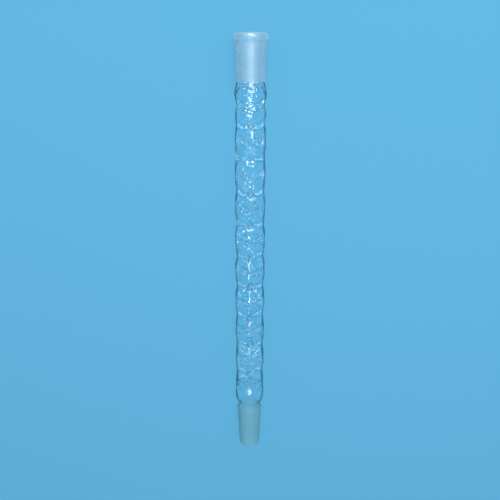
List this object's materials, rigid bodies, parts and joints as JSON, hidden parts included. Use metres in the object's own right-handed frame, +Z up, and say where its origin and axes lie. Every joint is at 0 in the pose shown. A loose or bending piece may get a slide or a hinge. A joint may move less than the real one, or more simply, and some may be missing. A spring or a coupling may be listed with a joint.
{
  "type": "vigreux column",
  "caption": "Blown glass fractionating column: a tube with rows of fingers pushed in and down, a beaded ground socket at one end and a ground cone at the other.",
  "frame": {"origin": "on the surface the column lies on, under the middle of its length", "axes": "+Y along the column towards its socket, +Z up from the surface, +X across; the column's own axis rises 0.27 degrees towards the socket, because the bead is wider than the tube"},
  "size_m": [0.0314, 0.3965, 0.0314],
  "materials": {
    "clear_glass": "clear fire-polished borosilicate glass, ground matt white inside the socket and outside the cone"
  },
  "bodies": {
    "root": {"glass_column": "clear_glass"}
  },
  "joints": []
}
